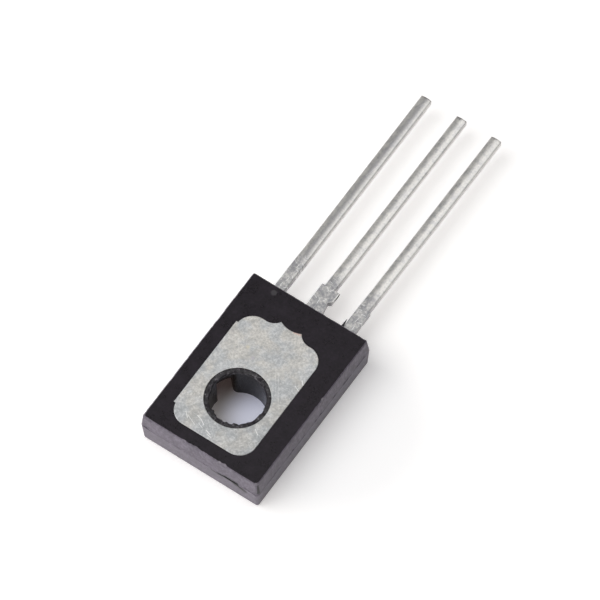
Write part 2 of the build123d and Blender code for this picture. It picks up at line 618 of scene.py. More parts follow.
@dataclass(frozen=True)
class RaggedFlash(Finish):
    """Rough torn edge of the same epoxy, with a few painted glints as pale spots of colour."""

    name: str = "ragged_flash"
    colour: Colour = (0.012, 0.010, 0.013)
    torn: Colour = (0.050, 0.045, 0.052)
    # Pale colour laid on some lumps as glints: a painted highlight.
    painted_glint: Colour = (0.26, 0.25, 0.27)
    rough: float = 0.46
    uneven: float = 0.3
    ior: float = 1.5
    lumps: Noise = (4.5, 4.0, 0.65)
    grain: Noise = (20.0, 3.0, 0.55)
    torn_lumps: Mask = (0.54, 0.10, 1.0)
    painted_glint_lumps: Mask = (0.60, 0.05, 0.7)
    painted_glint_grain: Mask = (0.50, 0.10, 1.0)
    relief: Relief = Relief((0.7, 0.3), 0.7, 0.05)

    def paint(self, canvas: Canvas) -> Socket:
        """Adds the nodes of the torn edge.

        Args:
            canvas: Tree that the nodes are added to.

        Returns:
            The shader's output.
        """
        place = canvas.place()
        lumps = canvas.mottle(place, *self.lumps)
        grain = canvas.mottle(place, *self.grain)
        # Painted glints: pale colour where the lumps and the grain are both high.
        painted_glints = lumps.above(*self.painted_glint_lumps) * grain.above(*self.painted_glint_grain)
        layers = [(lumps.above(*self.torn_lumps), self.torn), (painted_glints, self.painted_glint)]
        return canvas.surface(
            {
                "Base Color": canvas.layered(self.colour, layers),
                "Roughness": grain.swing(self.uneven) + self.rough,
                "IOR": self.ior,
                "Normal": canvas.bump((lumps, grain), self.relief),
            }
        )


@dataclass(frozen=True)
class TinnedPad(Finish):
    """Dull tin on the pad: fine grain, cool and warm clouds, a few scratches and a bare copper edge."""

    name: str = "tinned_pad"
    cool: Colour = (0.582, 0.597, 0.606)
    warm: Colour = (0.692, 0.667, 0.622)
    bright: Colour = (0.93, 0.93, 0.92)
    dull: Colour = (0.30, 0.31, 0.32)
    copper: Colour = (0.74, 0.52, 0.45)
    gold: Colour = (0.80, 0.72, 0.50)
    violet: Colour = (0.58, 0.54, 0.64)
    rough: float = 0.44
    cloud_uneven: float = 0.16
    grain_uneven: float = 0.18
    metallic: float = 0.9
    patch: Noise = (0.9, 3.0, 0.55)
    cloud: Noise = (3.0, 4.0, 0.65)
    cloud_shares: tuple[float, float, float] = (1.0, 0.6, 1.0)
    cloud_turn: float = math.radians(35.0)
    grain: Noise = (9.0, 4.0, 0.75)
    fine_lines: Scratches = Scratches(cell=0.42, width=0.016, share=0.16)
    steep_lines: Scratches = Scratches(0.6, 0.018, 0.16, math.radians(-52.0), 0.7)
    warm_patch: Mask = (0.50, 0.12, 1.0)
    shade_start: float = -5.0
    shade_end: float = 4.5
    shade_share: float = 0.36
    cloud_dull: Mask = (0.44, 0.12, 0.34)
    cloud_bright: Mask = (0.58, 0.10, 0.28)
    grain_dull: Mask = (0.46, 0.10, 0.34)
    grain_bright: Mask = (0.57, 0.10, 0.36)
    stain_share: float = 0.4
    copper_share: float = 0.7
    line_share: float = 0.4
    mark_share: float = 0.9
    faint_share: float = 0.35
    relief: Relief = Relief((0.5, 0.2, -0.3, -0.4), 0.45, 0.010)
    marks: tuple[Stroke, ...] = (
        Stroke((-0.91, -2.15), (-0.57, -2.36), 0.045),
        Stroke((-0.30, -2.55), (0.07, -2.66), 0.045),
        Stroke((-1.86, -2.21), (-1.55, -2.51), 0.035),
        Stroke((-1.63, -2.35), (-0.97, -2.63), 0.025),
        Stroke((2.29, 2.84), (2.53, 2.59), 0.06),
        Stroke((2.17, 2.35), (2.56, 2.17), 0.03),
        Stroke((-1.20, -2.06), (-0.92, -2.16), 0.035),
        Stroke((-0.87, -2.43), (-0.52, -2.56), 0.030),
        Stroke((-0.15, -2.72), (0.22, -2.78), 0.030),
        Stroke((1.85, -1.00), (2.20, -1.24), 0.035),
    )
    faint_marks: tuple[Stroke, ...] = (
        Stroke((1.02, 2.42), (1.99, 1.01), 0.03),
        Stroke((0.74, 2.56), (1.60, 1.30), 0.025),
    )
    copper_edge: Stroke = Stroke((0.23, 4.99), (0.72, 5.08), 0.10)
    gold_stain: Spot = Spot((-1.31, 2.88), 0.10, 0.08)
    violet_stain: Spot = Spot((-0.70, 2.47), 0.10, 0.08)

    def paint(self, canvas: Canvas) -> Socket:
        """Adds the nodes of the pad's tin.

        Args:
            canvas: Tree that the nodes are added to.

        Returns:
            The shader's output.
        """
        place = canvas.place()
        x, y, _ = canvas.parts(place)
        patch = canvas.mottle(place, *self.patch)
        cloud = canvas.mottle(canvas.stretched(place, self.cloud_shares, self.cloud_turn), *self.cloud)
        grain = canvas.mottle(place, *self.grain)
        lines = canvas.scratches(place, self.fine_lines).most(canvas.scratches(place, self.steep_lines))
        faint = canvas.strokes(place, self.faint_marks) * self.faint_share
        marks = canvas.strokes(place, self.marks).most(faint)
        layers = [
            (patch.above(*self.warm_patch), self.warm),
            (canvas.ramp(y - x, self.shade_start, self.shade_end, self.shade_share, 0.0), self.dull),
            (cloud.below(*self.cloud_dull), self.dull),
            (cloud.above(*self.cloud_bright), self.bright),
            (grain.below(*self.grain_dull), self.dull),
            (grain.above(*self.grain_bright), self.bright),
            (canvas.spot(place, self.gold_stain) * self.stain_share, self.gold),
            (canvas.spot(place, self.violet_stain) * self.stain_share, self.violet),
            (canvas.stroke(place, self.copper_edge) * self.copper_share, self.copper),
            (lines * self.line_share, self.bright),
            (marks * self.mark_share, self.bright),
        ]
        return canvas.surface(
            {
                "Base Color": canvas.layered(self.cool, layers),
                "Metallic": self.metallic,
                "Roughness": cloud.swing(self.cloud_uneven) + grain.swing(self.grain_uneven) + self.rough,
                "Normal": canvas.bump((grain, cloud, lines, marks), self.relief),
            }
        )


@dataclass(frozen=True)
class TinnedLead(Finish):
    """Smoother tin on the leads: drawn lines along them, a darker band along one lead that is partly wear and
    partly painted shade, painted shade low on their sides, and flecks on their roots.
    """

    root_end: float
    name: str = "tinned_lead"
    colour: Colour = (0.86, 0.842, 0.805)
    bright: Colour = (0.97, 0.97, 0.96)
    dull: Colour = (0.46, 0.46, 0.49)
    # Colour of the darker band and of the lower sides: partly wear, partly painted shade.
    worn: Colour = (0.43, 0.42, 0.415)
    root: Colour = (0.30, 0.30, 0.325)
    rough: float = 0.37
    root_rough: float = 0.08
    uneven: float = 0.14
    metallic: float = 0.92
    root_fade: float = 0.85
    drawn: Noise = (1.0, 3.0, 0.55)
    drawn_shares: tuple[float, float, float] = (8.0, 0.6, 8.0)
    cloud: Noise = (3.2, 4.0, 0.6)
    grain: Noise = (8.0, 4.0, 0.75)
    flecks: Scratches = Scratches(cell=0.24, width=0.032, share=0.30)
    scores: Scratches = Scratches(0.9, 0.02, 0.3, math.radians(75.0), 0.6)
    score_share: float = 0.4
    root_score: Stroke = Stroke((1.99, 8.97), (2.22, 8.97), 0.05)
    # Darker band along the left lead's crown: partly rubbed wear, partly painted shade.
    rubbed_band_and_painted_shade: Stroke = Stroke((-2.25, 9.6), (-2.27, 21.9), 0.25)
    # Painted shade on the lower part of each lead's sides.
    painted_side_shade: Mask = (1.34, 0.03, 0.45)
    cloud_dull: Mask = (0.44, 0.12, 0.4)
    pits: Mask = (0.46, 0.08, 1.0)
    pit_share: float = 0.22
    shaded_band_pit_share: float = 0.30
    grain_stain: Mask = (0.52, 0.12, 0.30)
    cloud_stain: Mask = (0.50, 0.10, 0.38)
    root_stain: float = 0.20
    mark_share: float = 0.9
    relief: Relief = Relief((0.3, 0.4, 0.2, -0.4), 0.45, 0.008)

    def paint(self, canvas: Canvas) -> Socket:
        """Adds the nodes of a lead's tin.

        Args:
            canvas: Tree that the nodes are added to.

        Returns:
            The shader's output.
        """
        place = canvas.place()
        _, y, z = canvas.parts(place)
        near_root = y.below(self.root_end, self.root_fade)
        drawn = canvas.mottle(canvas.stretched(place, self.drawn_shares), *self.drawn)
        cloud = canvas.mottle(place, *self.cloud)
        grain = canvas.mottle(place, *self.grain)
        flecks = canvas.scratches(place, self.flecks) * near_root
        scores = canvas.scratches(place, self.scores) * self.score_share
        marks = flecks.most(scores).most(canvas.stroke(place, self.root_score))
        # Mask of the band, partly worn and partly painted shade, and of the painted shade on the sides.
        rubbed_band_and_painted_shade = canvas.stroke(place, self.rubbed_band_and_painted_shade).most(z.below(*self.painted_side_shade))
        pitted = grain.below(*self.pits) * (rubbed_band_and_painted_shade * self.shaded_band_pit_share + self.pit_share)
        stained = grain.below(*self.grain_stain) + cloud.below(*self.cloud_stain) + self.root_stain
        layers = [
            (rubbed_band_and_painted_shade, self.worn),
            (cloud.below(*self.cloud_dull), self.dull),
            (pitted, self.root),
            (near_root * stained, self.root),
            (marks * self.mark_share, self.bright),
        ]
        uneven = cloud.swing(self.uneven) + grain.swing(self.uneven)
        return canvas.surface(
            {
                "Base Color": canvas.layered(self.colour, layers),
                "Metallic": self.metallic,
                "Roughness": uneven + near_root * self.root_rough + self.rough,
                "Normal": canvas.bump((drawn, grain, cloud, marks), self.relief),
            }
        )


@dataclass(frozen=True)
class PolishedSilicon(Finish):
    """Chip with the faint bars of its top metal."""

    name: str = "polished_silicon"
    colour: Colour = (0.10, 0.11, 0.14)
    bars: Colour = (0.55, 0.55, 0.56)
    pitch: float = 0.16
    bar_edge: Mask = (0.2, 0.1, 1.0)
    bar_metal: float = 0.9
    haze: Noise = (6.0, 3.0, 0.55)
    rough: float = 0.12
    uneven: float = 0.15

    def paint(self, canvas: Canvas) -> Socket:
        """Adds the nodes of the chip.

        Args:
            canvas: Tree that the nodes are added to.

        Returns:
            The shader's output.
        """
        place = canvas.place()
        x, _, _ = canvas.parts(place)
        wave = canvas.maths(Sum.SINE, x * (math.tau / self.pitch))
        bars = wave.above(*self.bar_edge)
        return canvas.surface(
            {
                "Base Color": canvas.mix(bars, self.colour, self.bars),
                "Metallic": bars * self.bar_metal,
                "Roughness": canvas.mottle(place, *self.haze) * self.uneven + self.rough,
            }
        )


@dataclass(frozen=True)
class DullMetal(Finish):
    """Cloudy metal, for the solder, the drawn wires and the cut burr, which has a painted highlight, and in
    dark colours for a sheet of painted shadow and for the pad's hole wall as painted shade.
    """

    name: str
    colour: Colour
    shade: Colour
    rough: float
    grain: tuple[float, float, float]
    metallic: float = 0.95
    cloud: Noise = (1.0, 4.0, 0.55)
    uneven: float = 0.3
    relief: Relief = Relief((1.0,), 0.4, 0.01)

    def paint(self, canvas: Canvas) -> Socket:
        """Adds the nodes of the metal.

        Args:
            canvas: Tree that the nodes are added to.

        Returns:
            The shader's output.
        """
        cloud = canvas.mottle(canvas.stretched(canvas.place(), self.grain), *self.cloud)
        return canvas.surface(
            {
                "Base Color": canvas.mix(cloud, self.shade, self.colour),
                "Metallic": self.metallic,
                "Roughness": cloud.swing(self.uneven) + self.rough,
                "Normal": canvas.bump((cloud,), self.relief),
            }
        )


def merged_copy(node: str) -> BMesh:
    """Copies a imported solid's mesh, with its triangles merged into flat faces.

    Args:
        node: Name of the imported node.

    Returns:
        The copy, as an open mesh.
    """
    mesh = bmesh.new()
    mesh.from_mesh(frame["nodes"][node].data)
    bmesh.ops.remove_doubles(mesh, verts=mesh.verts, dist=MERGE_DISTANCE)
    bmesh.ops.dissolve_limit(mesh, angle_limit=FLAT_ANGLE, verts=mesh.verts, edges=mesh.edges)
    return mesh


def shade(mesh: BMesh, is_round: Callable[[BMFace], bool]) -> None:
    """Shades the round faces of a mesh smoothly and the others flat."""
    for face in mesh.faces:
        face.smooth = is_round(face)


def place_piece(mesh: BMesh, name: str, finishes: Sequence[Finish]) -> bpy.types.Object:
    """Turns a finished mesh into a piece of the part.

    Args:
        mesh: The mesh, in the part's frame. It is freed.
        name: Name of the piece.
        finishes: Finishes, in the order of the faces' numbers.

    Returns:
        The piece's object.
    """
    for edge in mesh.edges:
        edge.smooth = edge.smooth and edge.calc_face_angle(math.pi) < SHARP_ANGLE
    data = bpy.data.meshes.new(name)
    mesh.to_mesh(data)
    mesh.free()
    for finish in finishes:
        data.materials.append(finish.material())
    piece = bpy.data.objects.new(name, data)
    bpy.context.scene.collection.objects.link(piece)
    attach(piece, BODY)
    log.info("%s: %d faces", name, len(data.polygons))
    return piece


def cut_faces(mesh: BMesh, chosen: Callable[[BMFace], bool], axis: int, levels: Iterable[float]) -> None:
    """Cuts the chosen faces along a row of planes across one axis.

    Args:
        mesh: Mesh to cut.
        chosen: Test that picks the faces to cut.
        axis: Number of the axis.
        levels: Place of each plane on the axis.
    """
    for level in levels:
        faces = [face for face in mesh.faces if chosen(face)]
        edges = {edge for face in faces for edge in face.edges}
        verts = {vert for face in faces for vert in face.verts}
        bmesh.ops.bisect_plane(
            mesh,
            geom=[*faces, *edges, *verts],
            dist=MERGE_DISTANCE,
            plane_co=ALONG[axis] * level,
            plane_no=ALONG[axis],
        )


def unevenness(place: Vector, grain: float, fall: float) -> float:
    """Uneven value at a place on the part, for a grain per millimetre and a fall of the octaves."""
    return noise.fractal(place / MM * grain, fall, OCTAVE_STEP, OCTAVES)


@dataclass(frozen=True)
class Nick:
    """Small chip out of the upper edge, in millimetres. The pale share tells how bright its fracture is."""

    centre: tuple[float, float]
    radius: float
    depth: float
    pale: float


@dataclass
class Moulding:
    """Epoxy body with its ragged parting line, worn edges and broken-off gate."""

    plan: PartPlan
    column: float = 0.08 * MM
    seam_rise: float = 0.012 * MM
    seam_rows: tuple[int, int] = (1, 6)
    seam_span: tuple[float, float] = (0.5, 8.0)
    seam_depth: float = 0.006 * MM
    seam_ragged: float = 0.045 * MM
    seam_wear: float = 0.2
    seam_grain: float = 1.8
    edge_band: float = 0.06 * MM
    edge_row: int = 3
    edge_span: float = 1.5
    edge_ragged: float = 0.07 * MM
    edge_grain: float = 2.2
    other_edge_share: float = 0.35
    wave_fall: float = 0.5
    border: float = 0.35 * MM
    corner_blend: float = 0.05 * MM
    upright: float = 0.5
    plain_wall: float = 0.97
    wall_across: float = 0.6
    bore_share: float = 1.2
    bore_reach: float = 3.0 * MM
    crack_depth: float = 0.06 * MM
    crack_rise: float = 0.4 * MM
    pin: Spot = Spot((-2.04, 6.42), 0.17, 0.05)
    # Strokes in X and Z on the free end: painted shade along the broken gate's crack, and a painted dark
    # reflection down the right-hand corner.
    painted_shade_strokes: tuple[Stroke, ...] = (
        Stroke((0.90, 1.31), (1.28, 1.27), 0.10),
        Stroke((1.28, 1.27), (1.81, 1.40), 0.16),
        Stroke((1.81, 1.40), (2.26, 1.42), 0.22),
        Stroke((2.26, 1.42), (2.72, 1.24), 0.28),
        Stroke((2.72, 1.24), (3.20, 1.07), 0.24),
        Stroke((3.93, 2.38), (3.97, 1.55), 0.10),
    )
    nicks: tuple[Nick, ...] = (
        Nick((-0.93, -3.75), 0.13, 0.05, 0.1),
        Nick((-0.22, -3.75), 0.13, 0.05, 0.1),
        Nick((1.39, -3.75), 0.12, 0.06, 0.4),
        Nick((1.72, -3.75), 0.16, 0.08, 0.2),
        Nick((3.82, -3.70), 0.16, 0.06, 0.3),
        Nick((3.87, 2.53), 0.12, 0.05, 0.7),
    )

    def build(self) -> BMesh:
        """Makes the mesh.

        Returns:
            The body, with the amount of wear kept on its vertices.
        """
        mesh = merged_copy("molded_body")
        shade(mesh, self._is_round)
        self._divide(mesh)
        self._wear(mesh)
        for face in mesh.faces:
            face.material_index = self._region(face).value
        return mesh

    def dress(self, mesh: BMesh) -> bpy.types.Object:
        """Places the body and gives it its finishes.

        Args:
            mesh: The body's mesh.

        Returns:
            The piece.
        """
        finishes = {
            # One epoxy in two colours: the walls' grey is lighter than the face's near black partly as a matt
            # finish and partly as painted light.
            Region.FACE: MouldedEpoxy(
                "epoxy_face",
                (0.0030, 0.0006, 0.0036),
                (0.0150, 0.0085, 0.0170),
                rough=0.31,
                uneven=0.20,
                grain=(7.5, 4.0, 0.75),
                relief=Relief((0.7, 0.2, -0.4), 0.25, 0.012),
                ior=1.4,
                pin_mark=self.pin,
            ),
            # Lighter grey of the walls: partly a matt finish, partly painted light.
            Region.WALL: MouldedEpoxy(
                "epoxy_wall",
                (0.088, 0.074, 0.097),
                (0.205, 0.180, 0.221),
                rough=0.48,
                grain=(6.5, 4.0, 0.75),
                painted_shade_strokes=self.painted_shade_strokes,
                wears=True,
            ),
            Region.BORE: MouldedEpoxy(
                "epoxy_bore", (0.0030, 0.0022, 0.0032), (0.0060, 0.0050, 0.0062), rough=0.28, ior=1.4
            ),
            # The groove's colour is darker than the walls', which paints the shade inside it.
            Region.CRACK: MouldedEpoxy(
                "epoxy_crack_painted_shade", (0.006, 0.005, 0.006), (0.012, 0.010, 0.012), rough=0.80
            ),
        }
        piece = place_piece(mesh, "moulding", [finishes[region] for region in Region])
        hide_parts("molded_body")
        return piece

    def _gap(self, place: Vector) -> float:
        """Distance from a place to the nearest side of the body's box."""
        low, high = self.plan.body_low, self.plan.body_high
        return min(place.x - low.x, high.x - place.x, place.y - low.y, high.y - place.y)

    def _is_outer(self, face: BMFace) -> bool:
        """True for a face of the outer walls or of the broken edges beside them."""
        return abs(face.normal.z) < FACING and self._gap(face.calc_center_median()) < self.border

    def _is_round(self, face: BMFace) -> bool:
        """Tells the wall of the screw hole and the upright corners.

        Args:
            face: Face of the body.

        Returns:
            True for a face of a round wall.
        """
        if abs(face.normal.z) > self.upright:
            return False
        middle = face.calc_center_median()
        if math.hypot(middle.x, middle.y) < self.plan.hole_radius * self.bore_share:
            return True
        return max(abs(face.normal.x), abs(face.normal.y)) < self.plain_wall

    def _region(self, face: BMFace) -> Region:
        """Tells the kind of surface that a face belongs to.

        Args:
            face: Face of the body.

        Returns:
            The kind of surface.
        """
        middle = face.calc_center_median()
        depth = middle.y - self.plan.body_low.y
        side = min(middle.x - self.plan.body_low.x, self.plan.body_high.x - middle.x)
        beside_parting = abs(middle.z - self.plan.parting) < self.crack_rise
        if self.crack_depth < depth < self.border < side and beside_parting:
            return Region.CRACK
        if self._is_outer(face):
            return Region.WALL
        if math.hypot(middle.x, middle.y) < self.bore_reach and abs(face.normal.z) < FACING:
            return Region.BORE
        return Region.FACE

    def _divide(self, mesh: BMesh) -> None:
        """Divides the outer walls into a fine grid.

        Args:
            mesh: The body's mesh.
        """
        low, high = self.plan.body_low, self.plan.body_high
        rows = [self.plan.parting + row * self.seam_rise for row in self.seam_rows]
        rows.append(high.z - self.edge_row * self.edge_band)
        cut_faces(mesh, self._is_outer, 2, rows)
        for axis in (0, 1):
            count = int((high[axis] - low[axis]) / self.column)
            columns = [low[axis] + (high[axis] - low[axis]) * (step + 0.5) / count for step in range(count)]
            cut_faces(mesh, lambda face, a=axis: self._runs_along(face, a), axis, columns)

    def _runs_along(self, face: BMFace, axis: int) -> bool:
        """True for a face of the outer walls that runs along an axis."""
        return self._is_outer(face) and abs(face.normal[axis]) < self.wall_across

    def _wear(self, mesh: BMesh) -> None:
        """Moves the walls' vertices in at the parting line and at the worn upper edge.

        Args:
            mesh: The body's mesh.
        """
        worn = mesh.verts.layers.float.new(WORN)
        high = self.plan.body_high
        outer = {vert for face in mesh.faces if self._is_outer(face) for vert in face.verts}
        upper = [vert for vert in outer if vert.co.z > high.z - self.edge_span * self.edge_band]
        for vert in outer:
            rise = (vert.co.z - self.plan.parting) / self.seam_rise
            if self.seam_span[0] < rise < self.seam_span[1]:
                wave = unevenness(vert.co, self.seam_grain, self.wave_fall)
                ragged = self.seam_ragged * max(0.0, wave + self.seam_wear)
                vert.co += self._inward(vert.co) * (self.seam_depth + ragged)
        for vert in upper:
            at_free_end = vert.co.y < self.plan.body_low.y + self.border
            wave = unevenness(vert.co, self.edge_grain, self.wave_fall)
            ragged = self.edge_ragged * (1.0 if at_free_end else self.other_edge_share) * max(0.0, wave)
            for nick in self.nicks:
                reach = (vert.co.xy / MM - Vector(nick.centre)).length / nick.radius
                if reach < 1.0:
                    ragged = max(ragged, nick.depth * MM * (1.0 - reach * reach))
                    vert[worn] = max(vert[worn], nick.pale * (1.0 - reach * reach))
            if vert.co.z < high.z - self.edge_band / 2:
                vert.co.z -= ragged / 2
            vert.co += self._inward(vert.co) * ragged

    def _inward(self, place: Vector) -> Vector:
        """Finds the direction from the nearest outer walls into the body, blended at its corners.

        Args:
            place: Place on a wall.

        Returns:
            The level direction.
        """
        pull = Vector()
        for axis in (0, 1):
            low_gap = place[axis] - self.plan.body_low[axis] + self.corner_blend
            high_gap = self.plan.body_high[axis] - place[axis] + self.corner_blend
            pull[axis] = (self.corner_blend / low_gap) ** 2 - (self.corner_blend / high_gap) ** 2
        return pull.normalized()


@dataclass
class MetalFrame:
    """Pad with the middle lead, and the two outer leads."""

    plan: PartPlan
    nodes: tuple[str, ...] = ("collector_frame", "emitter_lead", "base_lead")
    edge_break: float = 0.022 * MM
    tip_break: float = 0.04 * MM
    tip_loop: float = 0.15 * MM
    tip_share: float = 2.0
    bevel_segments: int = 2
    root_length: float = 1.88 * MM
    root_stain: float = 2.7 * MM
    lead_start: float = 0.5 * MM
    stub_start: float = 1.0 * MM
    stub_side: float = 0.42 * MM
    stub_cuts: tuple[float, float] = (8.02 * MM, 8.14 * MM)
    end_normal: float = 0.99
    crown_normals: tuple[float, float] = (0.1, 0.999)
    upright: float = 0.1
    hole_share: float = 1.3

    def build(self) -> dict[str, BMesh]:
        """Makes the three metal meshes, with broken edges.

        Returns:
            The meshes by the name of the node that each refines.
        """
        meshes = {node: merged_copy(node) for node in self.nodes}
        for mesh in meshes.values():
            cut_faces(mesh, self._is_lead, 1, [self.plan.lead_tip - self.tip_loop])
        pad = meshes["collector_frame"]
        self._trim_stub(pad)
        self._break_edges(pad, [edge for edge in pad.edges if self._on_pad_edge(edge)], self.edge_break)
        for mesh in meshes.values():
            self._break_edges(mesh, [edge for edge in mesh.edges if self._on_tip(edge)], self.tip_break)
        return meshes

    def dress(self, meshes: dict[str, BMesh]) -> list[bpy.types.Object]:
        """Places the metal pieces and gives them their finishes.

        Args:
            meshes: The meshes by node.

        Returns:
            The pieces.
        """
        finishes = {
            Plating.PAD: TinnedPad(),
            Plating.LEAD: TinnedLead((self.plan.lead_end + self.root_stain) / MM),
            # The hole's metal wall gets a dark brown colour that paints the shade it stands in.
            Plating.HOLE: DullMetal(
                "hole_wall_painted_shade",
                (0.085, 0.066, 0.058),
                (0.040, 0.032, 0.030),
                rough=0.7,
                grain=(5.0, 5.0, 5.0),
                metallic=0.3,
            ),
        }
        pieces = []
        for node, mesh in meshes.items():
            shade(mesh, self._is_round)
            for face in mesh.faces:
                face.material_index = self._plating(face).value
            piece = place_piece(mesh, f"tinned_{node}", [finishes[kind] for kind in Plating])
            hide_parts(node)
            pieces.append(piece)
        return pieces

    def _plating(self, face: BMFace) -> Plating:
        """Tells the kind of surface that a face belongs to.

        Args:
            face: Face of a metal piece.

        Returns:
            The kind of surface.
        """
        if self._in_hole(face):
            return Plating.HOLE
        on_lead = face.calc_center_median().y > self.plan.lead_end - self.lead_start
        return Plating.LEAD if on_lead else Plating.PAD

    def _is_lead(self, face: BMFace) -> bool:
        """True for a face outside the moulding."""
        return face.calc_center_median().y > self.plan.lead_end

    def _near_stub(self, face: BMFace) -> bool:
        """True for a face on the middle lead's root or beyond."""
        return face.calc_center_median().y > self.plan.lead_end - self.stub_start

    def _trim_stub(self, mesh: BMesh) -> None:
        """Draws the middle lead's right-hand stub in between the moulding and the cut that left it.

        Args:
            mesh: The pad's mesh.
        """
        cut_faces(mesh, self._near_stub, 1, self.stub_cuts)
        for vert in mesh.verts:
            if vert.co.x > self.stub_side and self.plan.lead_end < vert.co.y < sum(self.stub_cuts) / 2:
                vert.co.x = self.stub_side

    def _is_round(self, face: BMFace) -> bool:
        """Tells the crowned leads, the rounded edges and the wall of the pad's hole.

        Args:
            face: Face of a metal piece.

        Returns:
            True for a face that is shaded smoothly.
        """
        if face.calc_center_median().y > self.plan.lead_end + self.root_length:
            return face.normal.z > -self.end_normal and face.normal.y < self.end_normal
        if self.crown_normals[0] < face.normal.z < self.crown_normals[1]:
            return True
        return self._in_hole(face)

    def _in_hole(self, face: BMFace) -> bool:
        """True for the wall of the pad's hole."""
        reach = face.calc_center_median().xy.length
        return abs(face.normal.z) < self.upright and reach < self.plan.hole_radius * self.hole_share

    def _on_pad_edge(self, edge: BMEdge) -> bool:
        """True for an edge between the pad's face and its sides."""
        level = all(abs(vert.co.z - self.plan.pad_face) < MERGE_DISTANCE for vert in edge.verts)
        return level and edge.calc_face_angle(0.0) > SHARP_ANGLE

    def _on_tip(self, edge: BMEdge) -> bool:
        """True for an edge round the cut end of a lead."""
        ends = [self._is_tip(face) for face in edge.link_faces]
        return any(ends) and not all(ends)

    def _is_tip(self, face: BMFace) -> bool:
        """True for the cut end of a lead."""
        return face.normal.y > FACING and face.calc_center_median().y > self.plan.lead_end * self.tip_share

    def _break_edges(self, mesh: BMesh, edges: list[BMEdge], width: float) -> None:
        """Rounds some edges.

        Args:
            mesh: Mesh of a metal piece.
            edges: The edges.
            width: Width of the rounding.
        """
        bmesh.ops.bevel(
            mesh,
            geom=edges,
            offset=width,
            affect="EDGES",
            segments=self.bevel_segments,
            profile=0.5,
            material=-1,
            clamp_overlap=True,
        )


@dataclass(frozen=True)
class Burr:
    """Tongue of flash that reaches into the screw hole, in degrees and metres."""

    heading: float
    half_width: float
    reach: float


@dataclass
class BoreFlash:
    """Torn ring of mould flash on the lining of the screw hole."""

    plan: PartPlan
    lining: float = 0.235 * MM
    lining_shares: tuple[float, float] = (0.66, 0.33)
    recess: float = 0.08 * MM
    lip: float = 0.03 * MM
    skirt: float = 0.16 * MM
    root: float = 0.03 * MM
    root_share: float = 1.5
    steps: int = 300
    lump: float = 0.030 * MM
    lump_middle: float = 0.5
    ragged: float = 0.09 * MM
    grain: float = 3.0
    coarse_grain: float = 1.5
    coarse_start: tuple[float, float, float] = (7.0, 0.0, 0.0)
    coarse_share: float = 0.6
    wave_share: float = 0.5
    wave_fall: float = 0.6
    burrs: tuple[Burr, ...] = (
        Burr(197.0, 9.0, 0.07 * MM),
        Burr(243.0, 5.0, 0.13 * MM),
        Burr(253.0, 4.0, 0.06 * MM),
        Burr(268.0, 5.0, 0.06 * MM),
        Burr(283.0, 4.0, 0.05 * MM),
        Burr(299.0, 5.0, 0.07 * MM),
    )

    def build(self) -> BMesh:
        """Makes the ring by turning its section about the hole's axis.

        Returns:
            The ring's mesh.
        """
        mesh = bmesh.new()
        top = self.plan.pad_face - self.recess
        inner = self.plan.hole_radius
        section = [
            (inner + self.lining, top - self.root),
            (inner + self.lining, top + self.root),
            *((inner + self.lining * share, top + self.root) for share in self.lining_shares),
            (inner, top + self.root / 2),
            (inner - self.lip, top - self.lip),
            (inner - self.lip / 2, top - self.skirt),
            (inner + self.root, top - self.skirt),
            (inner + self.root, top - self.root),
        ]
        verts = [mesh.verts.new((radius, 0.0, height)) for radius, height in section]
        edges = [mesh.edges.new((first, second)) for first, second in zip(verts, verts[1:] + verts[:1])]
        bmesh.ops.spin(
            mesh,
            geom=edges,
            cent=(0, 0, 0),
            axis=ALONG[2],
            angle=math.tau,
            steps=self.steps,
            use_merge=True,
        )
        bmesh.ops.remove_doubles(mesh, verts=mesh.verts, dist=MERGE_DISTANCE)
        bmesh.ops.recalc_face_normals(mesh, faces=mesh.faces)
        for vert in mesh.verts:
            self._tear(vert)
        shade(mesh, lambda face: True)
        return mesh

    def _tear(self, vert: BMVert) -> None:
        """Moves one vertex of the ring out of its even place.

        Args:
            vert: Vertex of the ring.
        """
        radius = math.hypot(vert.co.x, vert.co.y)
        outside = radius > self.plan.hole_radius + self.root * self.root_share
        if outside and vert.co.z < self.plan.pad_face - self.recess:
            return
        outward = Vector((vert.co.x, vert.co.y, 0.0)) / radius
        heading = math.degrees(math.atan2(vert.co.y, vert.co.x)) % 360.0
        wave = unevenness(vert.co, self.grain, self.wave_fall)
        coarse = noise.noise(vert.co / MM * self.coarse_grain + Vector(self.coarse_start))
        vert.co.z += self.lump * (wave - self.lump_middle)
        if radius < self.plan.hole_radius + self.root / 2:
            reach = self.ragged * max(0.0, self.coarse_share * coarse + self.wave_share * wave)
            for burr in self.burrs:
                reach += burr.reach * math.exp(-(((heading - burr.heading) / burr.half_width) ** 2))
            vert.co -= outward * reach

    def dress(self, mesh: BMesh) -> bpy.types.Object:
        """Places the ring and gives it its finish."""
        return place_piece(mesh, "bore_flash", [RaggedFlash()])


@dataclass
class Sliver:
    """Thin sheet with a drawn outline in millimetres: flash or a burr left over from moulding or from
    cutting, or a dark sheet that paints a shadow.
    """

    name: str
    outline: tuple[tuple[float, float, float], ...]
    thickness: float
    slot: Slot
    finish: Finish

    def build(self) -> BMesh:
        """Makes the sheet from its outline.

        Returns:
            The sheet's mesh.
        """
        mesh = bmesh.new()
        face = mesh.faces.new([mesh.verts.new(Vector(corner) * MM) for corner in self.outline])
        raised = bmesh.ops.extrude_face_region(mesh, geom=[face], use_keep_orig=True)["geom"]
        moved = [part for part in raised if isinstance(part, BMVert)]
        bmesh.ops.translate(mesh, verts=moved, vec=ALONG[2] * self.thickness * MM)
        bmesh.ops.recalc_face_normals(mesh, faces=mesh.faces)
        shade(mesh, lambda each: False)
        return mesh

    def dress(self, mesh: BMesh) -> bpy.types.Object:
        """Places the sheet and gives it its finish."""
        return place_piece(mesh, self.name, [self.finish])


